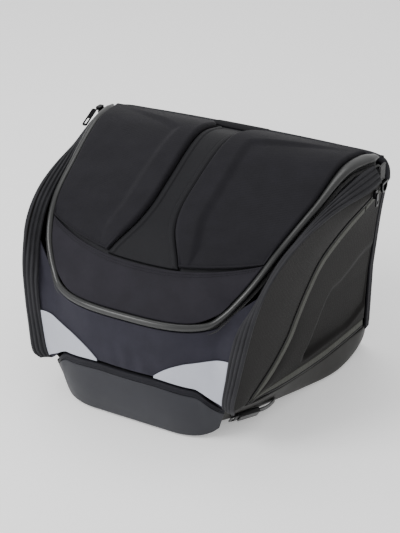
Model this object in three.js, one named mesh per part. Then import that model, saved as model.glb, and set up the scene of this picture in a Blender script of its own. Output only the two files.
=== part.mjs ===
// Motorcycle tail bag: a wedge-shaped semi-rigid bag with a hinged lid, two side pockets and a moulded base.
// Millimetres, +Z up, +Y towards the rider, +X to the right. The origin is under the middle of the bag.
import * as THREE from "three";

// ---- Driving dimensions ----
const RIDGE_HALF = 200; // half the width of the lid along its straight hinge edge
const RIDGE_Y = 147; // hinge edge of the lid, at the rider's side
const RIDGE_Z = 288;
const TAIL_Y = -165; // foremost point of the lid edge, at the tail
const TAIL_Z = 160;
const CORNER_HALF = 112; // half the width of the lid where its side edge turns into its tail edge
const CORNER_SETBACK = 27; // how far the lid's corners lie behind the middle of its tail edge
const LID_CROWN = 18; // height of the lid's middle over its side edges
const PIPING_RADIUS = 4.5;
const GAP = 0.4; // clearance between neighbouring pieces
const REAR_Y = 160; // outer face of the rider panel
const HANDLE_OUT_Y = 169.5; // outer face of the carry handle, as far back as the piping is forward
const SHELL = 4; // wall of the pocket mouldings
const SKIRT_WALL = 3; // wall of the base tray
const TRAY_FLOOR = 4;
const PAD_THICK = 1.6; // anti-slip sheet under the tray
const WEBBING = 20; // width of the mounting straps
const POST_Y = 141; // front face of the pocket hinge posts

const COLOURS = {
  fabric: [0x2b2a2f, 0.9, 0],
  tail_fabric: [0x3a3945, 0.9, 0],
  band: [0x35343a, 0.8, 0],
  piping: [0x2a2b2d, 0.45, 0],
  moulded: [0x2a2828, 0.6, 0],
  bumper: [0x4b4b52, 0.55, 0],
  reflective: [0xafb2bc, 0.4, 0],
  webbing: [0x1b1b1c, 0.9, 0],
  zip: [0x121213, 0.7, 0],
  plastic: [0x101011, 0.4, 0],
  metal: [0x1d1d1f, 0.35, 1],
  rubber: [0x161616, 0.95, 0],
  board: [0x232323, 0.8, 0],
  lining: [0x4a4a4c, 0.9, 0],
};

// ---- Small helpers ----
const lerp = THREE.MathUtils.lerp;
const clamp = THREE.MathUtils.clamp;
const smooth = THREE.MathUtils.smoothstep;
const vec = (x, y, z) => new THREE.Vector3(x, y, z);
const curve3 = (points) => new THREE.CatmullRomCurve3(points.map((p) => vec(...p)), false, "centripetal");
const curve2 = (points) => new THREE.SplineCurve(points.map((p) => new THREE.Vector2(...p)));
const BAG_CENTRE = vec(0, 0, 130);

const bag = new THREE.Group();

function addMesh(name, geometry, colour) {
  const [hex, roughness, metalness] = COLOURS[colour];
  const mesh = new THREE.Mesh(geometry, new THREE.MeshStandardMaterial({ color: hex, roughness, metalness }));
  mesh.name = name;
  bag.add(mesh);
  return mesh;
}

/** Adds the piece on the right as drawn and its mirror image on the left. */
function addPair(name, geometry, colour) {
  addMesh(name + "_right", geometry, colour);
  addMesh(name + "_left", mirrored(geometry), colour);
}

function mirrored(geometry) {
  const copy = geometry.clone();
  copy.applyMatrix4(new THREE.Matrix4().makeScale(-1, 1, 1));
  return facingOut(copy);
}

function signedVolume(position, index) {
  const [a, b, c] = [vec(), vec(), vec()];
  let sum = 0;
  for (let i = 0; i < index.length; i += 3) {
    a.fromBufferAttribute(position, index[i]);
    b.fromBufferAttribute(position, index[i + 1]);
    c.fromBufferAttribute(position, index[i + 2]);
    sum += a.dot(b.cross(c));
  }
  return sum;
}

/** Turns every face round when the closed body would otherwise be inside out. */
function facingOut(geometry) {
  const position = geometry.attributes.position;
  const index = geometry.index ? [...geometry.index.array] : [...Array(position.count).keys()];
  if (signedVolume(position, index) < 0)
    for (let i = 0; i < index.length; i += 3) [index[i + 1], index[i + 2]] = [index[i + 2], index[i + 1]];
  geometry.setIndex(index);
  geometry.computeVertexNormals();
  return geometry;
}

function bodyFrom(points, index) {
  const geometry = new THREE.BufferGeometry();
  geometry.setAttribute("position", new THREE.Float32BufferAttribute(points.flatMap((p) => [p.x, p.y, p.z]), 3));
  geometry.setIndex(index);
  return facingOut(geometry);
}

/** Closed body between two faces, each a function of u and v from 0 to 1, joined round their border. */
function slab(outer, inner, nu, nv) {
  const points = [];
  for (const face of [outer, inner])
    for (let j = 0; j <= nv; j++) for (let i = 0; i <= nu; i++) points.push(face(i / nu, j / nv));
  const at = (side, i, j) => (side * (nv + 1) + j) * (nu + 1) + i;
  const index = [];
  const quad = (a, b, c, d) => index.push(a, b, c, a, c, d);
  for (let j = 0; j < nv; j++)
    for (let i = 0; i < nu; i++) {
      quad(at(0, i, j), at(0, i + 1, j), at(0, i + 1, j + 1), at(0, i, j + 1));
      quad(at(1, i, j), at(1, i, j + 1), at(1, i + 1, j + 1), at(1, i + 1, j));
    }
  for (let i = 0; i < nu; i++) {
    quad(at(1, i, 0), at(1, i + 1, 0), at(0, i + 1, 0), at(0, i, 0));
    quad(at(0, i, nv), at(0, i + 1, nv), at(1, i + 1, nv), at(1, i, nv));
  }
  for (let j = 0; j < nv; j++) {
    quad(at(0, 0, j), at(0, 0, j + 1), at(1, 0, j + 1), at(1, 0, j));
    quad(at(1, nu, j), at(1, nu, j + 1), at(0, nu, j + 1), at(0, nu, j));
  }
  return bodyFrom(points, index);
}

function normalAt(surface, u, v) {
  const step = 0.01;
  const along = (du, dv) =>
    surface(clamp(u + du, 0, 1), clamp(v + dv, 0, 1)).sub(surface(clamp(u - du, 0, 1), clamp(v - dv, 0, 1)));
  return along(step, 0).cross(along(0, step)).normalize();
}

/** A surface moved along its normal by `out`, counted away from the middle of the bag. */
function offset(surface, out) {
  const away = surface(0.5, 0.5).sub(BAG_CENTRE);
  const signed = normalAt(surface, 0.5, 0.5).dot(away) < 0 ? -out : out;
  return (u, v) => surface(u, v).addScaledVector(normalAt(surface, u, v), signed);
}

/** Skin of a surface: from `out` above it down to `out - thickness`. */
const skin = (surface, out, thickness, nu, nv) =>
  slab(offset(surface, out), offset(surface, out - thickness), nu, nv);

/** Surface ruled between two curves that share their parameter. */
const ruled = (low, high) => (u, v) => low(u).lerp(high(u), v);

/** Closed body through a stack of rings of equal point count, capped at both ends. */
function loft(rings) {
  const count = rings[0].length;
  const points = rings.flat();
  const index = [];
  for (let r = 0; r + 1 < rings.length; r++)
    for (let i = 0; i < count; i++) {
      const [a, b] = [r * count + i, r * count + ((i + 1) % count)];
      index.push(a, b, b + count, a, b + count, a + count);
    }
  for (const [ring, first] of [[rings[0], 0], [rings.at(-1), (rings.length - 1) * count]]) {
    const middle = ring.reduce((sum, p) => sum.add(p), vec(0, 0, 0)).divideScalar(count);
    const hub = points.push(middle) - 1;
    for (let i = 0; i < count; i++) {
      const [a, b] = [first + i, first + ((i + 1) % count)];
      index.push(...(first === 0 ? [hub, b, a] : [hub, a, b]));
    }
  }
  return bodyFrom(points, index);
}

/** Closed outline from its right half, drawn from the middle of the tail to the middle of the rider side. */
const bothHalves = (half) => [...half, ...half.slice(1, -1).reverse().map((p) => vec(-p.x, p.y, p.z))];

function tube(path, radius, steps, sides) {
  const section = new THREE.Shape();
  for (let i = 0; i < sides; i++) {
    const angle = (2 * Math.PI * i) / sides;
    const point = [radius * Math.cos(angle), radius * Math.sin(angle)];
    if (i === 0) section.moveTo(...point);
    else section.lineTo(...point);
  }
  return new THREE.ExtrudeGeometry(section, { steps, bevelEnabled: false, extrudePath: path });
}

function roundedRect(shape, x0, y0, x1, y1, r) {
  shape.moveTo(x0 + r, y0);
  shape.lineTo(x1 - r, y0);
  shape.quadraticCurveTo(x1, y0, x1, y0 + r);
  shape.lineTo(x1, y1 - r);
  shape.quadraticCurveTo(x1, y1, x1 - r, y1);
  shape.lineTo(x0 + r, y1);
  shape.quadraticCurveTo(x0, y1, x0, y1 - r);
  shape.lineTo(x0, y0 + r);
  shape.quadraticCurveTo(x0, y0, x0 + r, y0);
  return shape;
}

const plate = (shape, depth, curveSegments = 4) =>
  new THREE.ExtrudeGeometry(shape, { depth, bevelEnabled: false, curveSegments });

// ---- Master surfaces ----
const LID_SIDE = curve3([
  [RIDGE_HALF, RIDGE_Y, RIDGE_Z],
  [182, 74, 292],
  [169, -2, 266],
  [156, -69, 238],
  [141, -106, 208],
  [CORNER_HALF, TAIL_Y + CORNER_SETBACK, TAIL_Z + 7],
]);

/** The lid's outer surface: u from -1 at the left edge to 1 at the right, v from 0 at the ridge to 1 at the tail. */
function lidSurface(u, v) {
  const side = LID_SIDE.getPoint(v);
  const bow = CORNER_SETBACK * (1 - Math.abs(u) ** 3) * v;
  const dip = 7 * (1 - Math.abs(u) ** 7) * v;
  const crown = LID_CROWN * Math.sin(Math.PI * v ** 0.6) ** 2 * (1 - Math.abs(u) ** 2.5);
  return vec(side.x * u, side.y - bow, side.z - dip + crown);
}

/** Right half of the lid's edge: t from 0 at the ridge to 1 at the corner and 2 at the middle of the tail. */
const lidEdge = (t) => (t <= 1 ? lidSurface(1, t) : lidSurface(2 - t, 1));

/** Horizontal direction out of the bag, square to the lid's edge. */
function edgeOut(t) {
  const along = lidEdge(Math.min(t + 0.02, 2)).sub(lidEdge(Math.max(t - 0.02, 0)));
  return vec(-along.y, along.x, 0).normalize();
}

const besideEdge = (t, out, down) => lidEdge(t).addScaledVector(edgeOut(t), out).sub(vec(0, 0, down));

/** Outer x of the bag's side at a place y along it and a height z. */
function sideX(y, z) {
  const back = (y + 148) / 295; // 0 at the tail end of the side, 1 at the rider's end
  const lean = z > 130 ? 0.13 - 0.059 * back : 0.13 * (1 - back);
  const shoulder = 3 + 6 * Math.exp(-(((y - 90) / 40) ** 2));
  const flare = shoulder * (Math.max(z - 190, 0) / 75) ** 2;
  const tuck = 0.4 * Math.max(62 - z, 0) * smooth(-y, 60, 140);
  return 152 + 44 * back + lean * (z - 130) + flare - tuck;
}

const sidePoint = (y, z, out = 0) => vec(sideX(y, z) + out, y, z);

/** Inner and outer edge of the raised strip that frames each side, from the ridge end down to the base. */
const CREVICE = curve3([
  [202, 117, 286],
  [198, 95, 286],
  [188, 45, 275],
  [179, -6, 259],
  [172, -50, 243],
  [164, -82, 227],
  [156, -106, 203],
  [149, -122, 182],
  [139, -139, 160],
  [133, -146, 130],
  [129, -147, 98],
  [125, -147, 70],
  [122, -143, 53],
]);
const WING_EDGE = curve2([
  [117, 267],
  [98, 265],
  [45, 263],
  [-4, 262],
  [-50, 256],
  [-82, 246],
  [-108, 231],
  [-125, 212],
  [-139, 180],
  [-147, 140],
  [-152, 102],
  [-155, 68],
  [-142, 49],
]);

/** Side pocket zip, as y and z on the side surface: from the ridge end down to the tip and back along the base. */
const POCKET_ZIP = curve2([
  [134, 257],
  [95, 246],
  [33, 220],
  [-1, 201],
  [-24, 173],
  [-40, 145],
  [-54, 118],
  [-78, 92],
  [-104, 72],
  [-118, 62],
  [-118, 55],
  [-94, 53],
  [-34, 45],
  [34, 41],
  [92, 43],
  [134, 46],
]);
const POCKET_TIP = 0.635; // share of the zip's curve at the pocket's tip

/** Point of a curve in the side surface moved sideways by `out`, away from the pocket's middle. */
function besideZip(t, out) {
  const point = POCKET_ZIP.getPoint(t);
  const along = POCKET_ZIP.getTangent(t);
  return sidePoint(point.x + along.y * out, point.y - along.x * out);
}

function insideWingEdge(t, inward) {
  const point = WING_EDGE.getPoint(t);
  const along = WING_EDGE.getTangent(t);
  return sidePoint(point.x - along.y * inward, point.y + along.x * inward);
}

const zipHeight = (y) => 46 + 9 * smooth(-y, 20, 120) - 4 * smooth(y, -34, 34) + 4 * smooth(y, 60, 134);

/** Front surface of the tail: bowed across. */
const tailY = (x) => TAIL_Y + 20 * (x / 130) ** 2;

/** Height of the bumper's top edge at a distance x from the middle. */
const bumperTopZ = (x) => 82 - 6 * smooth(x, 30, 92) - 30 * smooth(x, 88, 132);

// ---- Base ----
const TRAY_LOW = [
  [0, -126],
  [40, -126],
  [72, -126],
  [98, -104],
  [118, -72],
  [140, -28],
  [162, 17],
  [180, 59],
  [186, 88],
  [186, 134],
  [180, 158],
  [150, REAR_Y],
  [0, REAR_Y],
];
const TRAY_HIGH_Y = [-140, -140, -136, -126, -112, -60, -5, 50, 100, 136, 158, REAR_Y, REAR_Y];
const TRAY_HIGH_X = [0, 45, 88, 118]; // the points at the tail; those at the sides lie on the side surface
const TRAY_REAR_X = [188, 150, 0]; // the last three, along the rider's side
const TRAY_RIM_TAIL = 40;
const RIM_BELOW_ZIP = 5;

function trayRim(i) {
  const y = TRAY_HIGH_Y[i];
  if (i < TRAY_HIGH_X.length) return vec(TRAY_HIGH_X[i], y, TRAY_RIM_TAIL);
  const fromRear = i - (TRAY_HIGH_Y.length - TRAY_REAR_X.length);
  if (fromRear >= 0) return vec(TRAY_REAR_X[fromRear], y, TRAY_RIM_TAIL);
  return sidePoint(y, zipHeight(y) - RIM_BELOW_ZIP);
}

/** Point on the tray's outer wall: `i` counts along its outline, `h` runs from 0 at the floor to 1 at the rim. */
function trayWall(i, h) {
  const k = Math.min(Math.floor(i), TRAY_LOW.length - 2);
  const low = (n) => vec(...TRAY_LOW[n], PAD_THICK + GAP);
  const at = (n) => low(n).lerp(trayRim(n), h);
  return at(k).lerp(at(k + 1), i - k);
}

/** Moves each point of a half outline towards the middle of the bag, square to the outline. */
function inset(half, amount) {
  return half.map((point, i) => {
    const along = half[Math.min(i + 1, half.length - 1)].clone().sub(half[Math.max(i - 1, 0)]);
    const inward = vec(-along.y, along.x, 0).normalize();
    if (i === 0 || i === half.length - 1) inward.set(0, Math.sign(inward.y), 0);
    return point.clone().addScaledVector(inward, amount);
  });
}

function makeTray() {
  const half = (h) => TRAY_LOW.map((_, i) => trayWall(i, h));
  const lift = (points, z) => points.map((p) => vec(p.x, p.y, z));
  const floorZ = PAD_THICK + GAP + TRAY_FLOOR;
  const foot = half(0.1);
  const rings = [half(0), foot, half(1), inset(half(1), SKIRT_WALL), lift(inset(foot, SKIRT_WALL), floorZ)];
  return loft(rings.map(bothHalves));
}

function makeUnderPad() {
  const half = inset(TRAY_LOW.map(([x, y]) => vec(x, y, 0)), 7);
  const raised = half.map((p) => p.clone().setZ(PAD_THICK));
  return loft([bothHalves(half), bothHalves(raised)]);
}

/** Half width of the main compartment at its floor. */
const floorHalf = (y) => 154 - 0.17 * (148 - y) - 26 * (Math.max(-28 - y, 0) / 76) ** 1.5;

function makeBaseBoard() {
  const [tailEnd, riderEnd, clear, low, thick, steps] = [-108, 142, 5, 8.5, 3, 8];
  const edge = (z) => {
    const half = [vec(0, tailEnd, z)];
    for (let i = 0; i <= steps; i++) {
      const y = lerp(tailEnd, riderEnd, i / steps);
      half.push(vec(floorHalf(y) - clear, y, z));
    }
    half.push(vec(0, riderEnd, z));
    return bothHalves(half);
  };
  return loft([edge(low), edge(low + thick)]);
}

// ---- Tail end ----
const BUMPER_HALF = 130;
const BUMPER_THICK = 5;
const BUMPER_GAP = 3.8; // between the bumper's top and the panel above it
const BUMPER_FOOT = curve3([
  [0, -150, 2.5],
  [40, -150, 2.5],
  [68, -149, 2.5],
  [86, -142, 4],
  [98, -130, 9],
  [108, -119, 18],
]);

function bumperSurface(u, v) {
  const a = Math.abs(2 * u - 1);
  const x = a * BUMPER_HALF;
  const top = vec(x, tailY(x) - 1, bumperTopZ(x));
  const point = BUMPER_FOOT.getPoint(a).lerp(top, v);
  const belly = 4 * Math.sin(Math.PI * v) * smooth(1 - a, 0, 0.5);
  return vec(Math.sign(2 * u - 1) * point.x, point.y - belly, point.z);
}

function tailTop(t) {
  const out = lerp(10, 0.5, smooth(t, 0.75, 1.3));
  const down = lerp(8, 14, smooth(t, 0.75, 1.3));
  return besideEdge(t, out, down);
}

/** The tail panel: a four-sided patch from the bumper up to the lid's edge, between the two side strips. */
const TAIL_CORNER = 0.5; // share of the crevice curve at the panel's upper corners
const TAIL_CORNER_EDGE = 0.8; // the same corner along the lid's edge
function tailSurface(u, v) {
  const side = Math.sign(2 * u - 1) || 1;
  const a = Math.abs(2 * u - 1);
  const crevice = (k) => CREVICE.getPoint(lerp(1, TAIL_CORNER, k)).add(vec(-2, 0, 0));
  const top = (k) => tailTop(lerp(2, TAIL_CORNER_EDGE, k));
  const bottom = (k) => {
    const x = crevice(0).x * k;
    return vec(x, tailY(x), bumperTopZ(x) + BUMPER_GAP);
  };
  const across = bottom(a).lerp(top(a), v);
  const correction = crevice(v).sub(bottom(1).lerp(top(1), v)).multiplyScalar(a ** 4);
  const point = across.add(correction);
  return vec(side * point.x, point.y, point.z);
}

/** Point of the tail panel at a share `a` of its half width and a height z. */
function tailAtHeight(a, z) {
  let [low, high] = [0, 1];
  for (let i = 0; i < 20; i++) {
    const middle = (low + high) / 2;
    if (tailSurface(0.5 + a / 2, middle).z < z) low = middle;
    else high = middle;
  }
  return tailSurface(0.5 + a / 2, low);
}

const PATCH_INNER = 0.32; // the reflective patches run from this share of the half width to the side strips
const PATCH_OUTER = 0.985;
const PANEL_HALF = 120; // half width of the tail panel along its lower edge
const patchTopZ = (x) => 84 + 27 * Math.sqrt(smooth(x, 34, 78)) + 13 * smooth(x, 60, PANEL_HALF);

function patchSurface(u, v) {
  const a = lerp(PATCH_INNER, PATCH_OUTER, u);
  const x = a * PANEL_HALF;
  return tailAtHeight(a, lerp(bumperTopZ(x) + BUMPER_GAP + 1.2, patchTopZ(x), v));
}

// ---- Lid ----
const LID_INSET = PIPING_RADIUS + GAP;
const lidReach = (v) => 1 - LID_INSET / (edgeOut(v).x * LID_SIDE.getPoint(v).x);
const LID_V = [0.012, 0.958]; // first and last row of the lid's panels
const bandHalf = (v) => 19 + 9 * (Math.max(0.47 - v, 0) / 0.47) ** 2 + 32 * smooth(v, 0.47, 0.8) ** 1.3;
const lidSeam = (u) => 0.77 - 0.1 * Math.abs(u) ** 2.2;
const SEAM_GAP = 0.005;

function padSurface(u, v) {
  const row = lerp(LID_V[0], 1, v);
  const reach = lidReach(Math.min(row, 0.77));
  const guess = lerp(bandHalf(row) / LID_SIDE.getPoint(Math.min(row, 1)).x, reach, u);
  const across = lidSeam(guess) - SEAM_GAP;
  const along = lerp(LID_V[0], across, v);
  const inner = (bandHalf(along) + 1) / LID_SIDE.getPoint(along).x;
  return lidSurface(lerp(inner, lidReach(along), u), along);
}

function bandSurface(u, v) {
  const across = 2 * u - 1;
  const along = lerp(LID_V[0], lidSeam(0.3 * across) - SEAM_GAP, v);
  const half = (bandHalf(along) - GAP) / LID_SIDE.getPoint(along).x;
  return lidSurface(half * across, along);
}

function apronSurface(u, v) {
  const a = 2 * u - 1;
  const start = lidSeam(a) + SEAM_GAP;
  const along = lerp(start, LID_V[1], v);
  return lidSurface(a * lidReach(along), along);
}

function shellSurface(u, v) {
  const along = lerp(LID_V[0], LID_V[1], v);
  return lidSurface((2 * u - 1) * lidReach(along), along);
}

const LID_LAYER = 5; // the lid's covers lie on the shell, this far under the lid's outer surface
const LID_BED = 1.2; // play between the covers and the shell
const PAD_PROUD = 2.5;
const BAND_SUNK = 3.5;

/** Whole lid edge as one path, from the right ridge end round the tail to the left ridge end. */
function edgePath(place, samples, start) {
  const half = [];
  for (let i = 0; i <= samples; i++) half.push(place(lerp(start, 2, i / samples)));
  return [...half, ...half.slice(0, -1).reverse().map((p) => vec(-p.x, p.y, p.z))];
}

function makePiping() {
  const path = new THREE.CatmullRomCurve3(edgePath(lidEdge, 18, 0.02), false, "centripetal");
  return tube(path, PIPING_RADIUS, 64, 8);
}

/** Flat tape along the lid's edge between two lines that run beside it. */
function edgeTape(first, second, thickness) {
  const samples = 26;
  const a = new THREE.CatmullRomCurve3(edgePath(first, samples, 0.03));
  const b = new THREE.CatmullRomCurve3(edgePath(second, samples, 0.03));
  return skin(ruled((u) => a.getPoint(u), (u) => b.getPoint(u)), 0, thickness, 2 * samples, 1);
}

function makeLowerTape() {
  const inner = (t) => besideEdge(t, lerp(1.5, 0.3, smooth(t, 0.9, 1.3)), 7);
  const outer = (t) => besideEdge(t, lerp(5.5, 0.4, smooth(t, 0.75, 1.3)), lerp(8, 12, smooth(t, 0.75, 1.3)));
  return edgeTape(inner, outer, 1.3);
}

function makeUpperTape() {
  const inner = (t) => besideEdge(t, -2.6, 5);
  const outer = (t) => besideEdge(t, -1.4, 9.5);
  return edgeTape(inner, outer, 1.1);
}

// ---- Side pockets ----
/** Wall between the main compartment and the side pocket. */
function pocketWallSurface(u, v) {
  const tailEnd = lerp(-116, -94, v ** 2.2);
  const y = lerp(tailEnd, 144, u);
  const top = lidEdge(edgeShareAt(y));
  const low = vec(floorHalf(y), y, 11);
  return low.lerp(vec(top.x + 3.5, y, top.z - 11), v);
}

/** Share t of the lid's side edge where it passes the place y. */
function edgeShareAt(y) {
  let [near, far] = [0, 1];
  for (let i = 0; i < 24; i++) {
    const middle = (near + far) / 2;
    if (lidEdge(middle).y > y) near = middle;
    else far = middle;
  }
  return near;
}

const STRIP_SPLIT = 0.5; // where the strip's upper and front stretch are sewn together
const STRIP_THICK = 2.4;
function stripSurface(start, end) {
  return (u, v) => {
    const t = lerp(start, end, u);
    const edge = WING_EDGE.getPoint(t);
    const belly = 1.5 * Math.sin(Math.PI * v);
    const point = CREVICE.getPoint(t).lerp(sidePoint(edge.x, edge.y, 1), v);
    return point.add(vec(0, -belly * smooth(t, 0.3, 0.6), belly));
  };
}

function wingSideSurface(u, v) {
  const outer = insideWingEdge(lerp(0.005, 0.985, u), SHELL + 4.5);
  const inner = besideZip(lerp(0.01, POCKET_TIP - 0.005, u), 4);
  const mixed = outer.lerp(inner, v);
  return sidePoint(mixed.y, mixed.z);
}

const RING_ROOM = 6.5; // how much lower the flap's rear top corner lies, under the D-ring

function flapSurface(u, v) {
  const share = lerp(POCKET_TIP - 0.03, 0.01, u);
  const upper = besideZip(share, -4 - RING_ROOM * (1 - smooth(share, 0.02, 0.075)));
  const lower = besideZip(lerp(POCKET_TIP + 0.055, 0.99, u), -4);
  const mixed = lower.lerp(upper, v);
  return sidePoint(mixed.y, mixed.z);
}

/** Moulded wedge on the pocket flap. */
function wedgeSurface(u, v) {
  const y = lerp(-8, 126, u);
  const low = 64 + 12 * smooth(y, 60, 126);
  const high = 70 + 76 * smooth(y, -14, 48) ** 0.8 + 24 * smooth(y, 48, 126);
  return sidePoint(y, lerp(low, high, v));
}

function pocketTapeSurface(u, v) {
  const t = lerp(0.004, 0.996, u);
  return besideZip(t, lerp(-3, 3, v));
}

/** Solid corner post between the pocket wall and the side, where the pocket flap is hinged. */
function makePost() {
  const levels = [44, 90, 140, 190, 225, 252];
  const ring = (z) => {
    const outer = sideX(POST_Y + 6, z);
    const inner = lerp(floorHalf(144), 201, (z - 11) / 266) + 3;
    return [
      [inner, POST_Y + 5],
      [outer - 3, POST_Y],
      [outer, POST_Y + 3],
      [outer - 1, REAR_Y - 9],
      [outer - 8, REAR_Y],
      [inner, REAR_Y],
    ].map(([x, y]) => vec(Math.max(x, inner), y, z));
  };
  return loft(levels.map(ring));
}

// ---- Rider side ----
function riderPanelSurface(u, v) {
  const z = lerp(41, 279, v);
  const half = lerp(floorHalf(144), 201, (z - 11) / 266) + 2;
  const reach = z > 256 ? lerp(half, RIDGE_HALF - 2, smooth(z, 256, 262)) : half;
  return vec(reach * (2 * u - 1), REAR_Y, z);
}

const ANCHOR_X = 66; // the handle's legs hang at this distance from the middle
const LEG = 20; // width of the handle strap
const HANDLE_TOP = 236;
const HANDLE_DROP = 52;
const HANDLE_THICK = 5;

function makeHandle() {
  const outer = ANCHOR_X + LEG / 2;
  const inner = outer - LEG;
  const bend = 22;
  const shape = new THREE.Shape();
  shape.moveTo(-outer, 0);
  shape.lineTo(-outer, -HANDLE_DROP + bend);
  shape.quadraticCurveTo(-outer, -HANDLE_DROP, -outer + bend, -HANDLE_DROP);
  shape.lineTo(outer - bend, -HANDLE_DROP);
  shape.quadraticCurveTo(outer, -HANDLE_DROP, outer, -HANDLE_DROP + bend);
  shape.lineTo(outer, 0);
  shape.lineTo(inner, 0);
  shape.lineTo(inner, -HANDLE_DROP + LEG + 6);
  shape.quadraticCurveTo(inner, -HANDLE_DROP + LEG, inner - 6, -HANDLE_DROP + LEG);
  shape.lineTo(6 - inner, -HANDLE_DROP + LEG);
  shape.quadraticCurveTo(-inner, -HANDLE_DROP + LEG, -inner, -HANDLE_DROP + LEG + 6);
  shape.lineTo(-inner, 0);
  return plate(shape, HANDLE_THICK);
}

function makeAnchor() {
  const shape = roundedRect(new THREE.Shape(), ANCHOR_X - 14, 1.8, ANCHOR_X + 14, 19, 3);
  return plate(shape, HANDLE_THICK + 1);
}

// ---- Hardware ----
const RING = { outer: 9.5, bar: 2.6, drop: 15, thick: 3 };

function makeDRing() {
  const { outer, bar, drop, thick } = RING;
  const outline = new THREE.Shape();
  outline.moveTo(-outer, 0);
  outline.lineTo(outer, 0);
  outline.lineTo(outer, -drop + outer);
  outline.absarc(0, -drop + outer, outer, 0, -Math.PI, true);
  outline.lineTo(-outer, 0);
  const hole = new THREE.Path();
  const inner = outer - bar;
  hole.moveTo(-inner, -bar);
  hole.lineTo(-inner, -drop + outer);
  hole.absarc(0, -drop + outer, inner, -Math.PI, 0, false);
  hole.lineTo(inner, -bar);
  outline.holes.push(hole);
  return plate(outline, thick, 8);
}

function makeSlider(length, width, height) {
  const shape = roundedRect(new THREE.Shape(), -length / 2, -width / 2, length / 2, width / 2, width / 4);
  return plate(shape, height, 3);
}

function makePuller(length, width, thickness) {
  const shape = roundedRect(new THREE.Shape(), -width / 2, -length, width / 2, 0, width / 3);
  const hole = roundedRect(new THREE.Path(), -width / 4, -length + 3, width / 4, -length * 0.55, width / 6);
  shape.holes.push(hole);
  return plate(shape, thickness, 3);
}

const BUCKLE_CLEAR = 2.5; // from the tray's wall to the buckles
const BUCKLE = { length: 26, width: 25, thick: 6.4, wall: 1.5, prong: 11 };

/** Side-release buckle socket: a flat sleeve, open at both ends. It lies along x, its mouth at x = 0. */
function makeSocket() {
  const { length, width, thick, wall } = BUCKLE;
  const outline = roundedRect(new THREE.Shape(), -width / 2, 0, width / 2, thick, 1.5);
  const mouth = roundedRect(new THREE.Path(), -width / 2 + wall, wall, width / 2 - wall, thick - wall, 0.8);
  outline.holes.push(mouth);
  const body = plate(outline, length, 3);
  body.rotateX(Math.PI / 2);
  body.rotateZ(Math.PI / 2);
  return body;
}

/** The buckle's insert: a base with the strap slot, and two prongs that reach into the socket. */
function makeInsert() {
  const { width, thick, wall, prong } = BUCKLE;
  const base = 11.5;
  const clear = wall + 0.6;
  const half = width / 2;
  const reach = half - clear;
  const shape = new THREE.Shape();
  shape.moveTo(-0.6, -half);
  shape.lineTo(-0.6, -reach);
  shape.lineTo(prong, -reach + 1);
  shape.lineTo(prong, -reach + 4);
  shape.lineTo(-0.6, -reach + 5);
  shape.lineTo(-0.6, reach - 5);
  shape.lineTo(prong, reach - 4);
  shape.lineTo(prong, reach - 1);
  shape.lineTo(-0.6, reach);
  shape.lineTo(-0.6, half);
  shape.lineTo(-base, half - 1.5);
  shape.lineTo(-base, -half + 1.5);
  const slot = roundedRect(new THREE.Path(), -base + 3, -WEBBING / 2, -base + 6.5, WEBBING / 2, 1);
  shape.holes.push(slot);
  const body = plate(shape, thick - 2 * clear, 2);
  body.translate(0, 0, clear);
  return body;
}

/** Frame of a buckle on the tray's wall: x back along the wall, y up it, z out of it. */
function buckleFrame(i, h) {
  const place = trayWall(i, h);
  const back = trayWall(i + 0.3, h).sub(trayWall(i - 0.3, h)).normalize();
  const up = trayWall(i, h + 0.2).sub(trayWall(i, h - 0.2)).normalize();
  const outward = vec().crossVectors(back, up).normalize();
  up.crossVectors(outward, back);
  place.addScaledVector(outward, BUCKLE_CLEAR);
  return new THREE.Matrix4().makeBasis(back, up, outward).setPosition(place);
}

function placed(geometry, frame) {
  const moved = geometry.clone();
  moved.applyMatrix4(frame);
  return facingOut(moved);
}

/** Webbing from the back of a buckle socket to the tray's wall, where it is sewn down. */
function makeStrap(i, h, reach, frame) {
  const outward = vec().setFromMatrixColumn(buckleFrame(i + reach, h), 2);
  const atSocket = (v) => vec(BUCKLE.length + GAP, WEBBING * (v - 0.5), 2.4).applyMatrix4(frame);
  const sewn = (v) => trayWall(i + reach, h + STRAP_SHARE * (v - 0.5)).addScaledVector(outward, STRAP_LIFT);
  const bow = (u) => STRAP_BOW * Math.sin(Math.PI * u);
  return skin((u, v) => atSocket(v).lerp(sewn(v), u).addScaledVector(outward, bow(u)), 0.8, 1.6, 6, 1);
}

// ---- Assembly ----
function addBase() {
  addMesh("base_tray", makeTray(), "moulded");
  addMesh("anti_slip_pad", makeUnderPad(), "rubber");
  addMesh("base_board", makeBaseBoard(), "board");
}

function addTailEnd() {
  addMesh("tail_bumper", skin(bumperSurface, 0, BUMPER_THICK, 28, 4), "bumper");
  addMesh("tail_panel", skin(tailSurface, 0, SHELL, 28, 5), "tail_fabric");
  addPair("reflective_patch", skin(patchSurface, 1.9, 0.8, 12, 4), "reflective");
}

function addRiderSide() {
  const board = new THREE.BoxGeometry(300, 2.6, 252);
  board.translate(0, 147.6, 142);
  addMesh("rider_board", board, "board");
  addMesh("rider_panel", skin(riderPanelSurface, 0, 9, 12, 10), "fabric");
  const strip = new THREE.BoxGeometry(2 * RIDGE_HALF, 12, 5.5);
  strip.translate(0, 153.6, 283.6);
  addMesh("hinge_strip", strip, "webbing");
  const anchor = makeAnchor();
  anchor.rotateX(Math.PI / 2);
  anchor.translate(0, REAR_Y + GAP + HANDLE_THICK + 1, HANDLE_TOP);
  addPair("handle_anchor", anchor, "webbing");
  const handle = makeHandle();
  handle.rotateX(Math.PI / 2);
  handle.translate(0, HANDLE_OUT_Y, HANDLE_TOP);
  addMesh("carry_handle", handle, "webbing");
}

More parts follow.
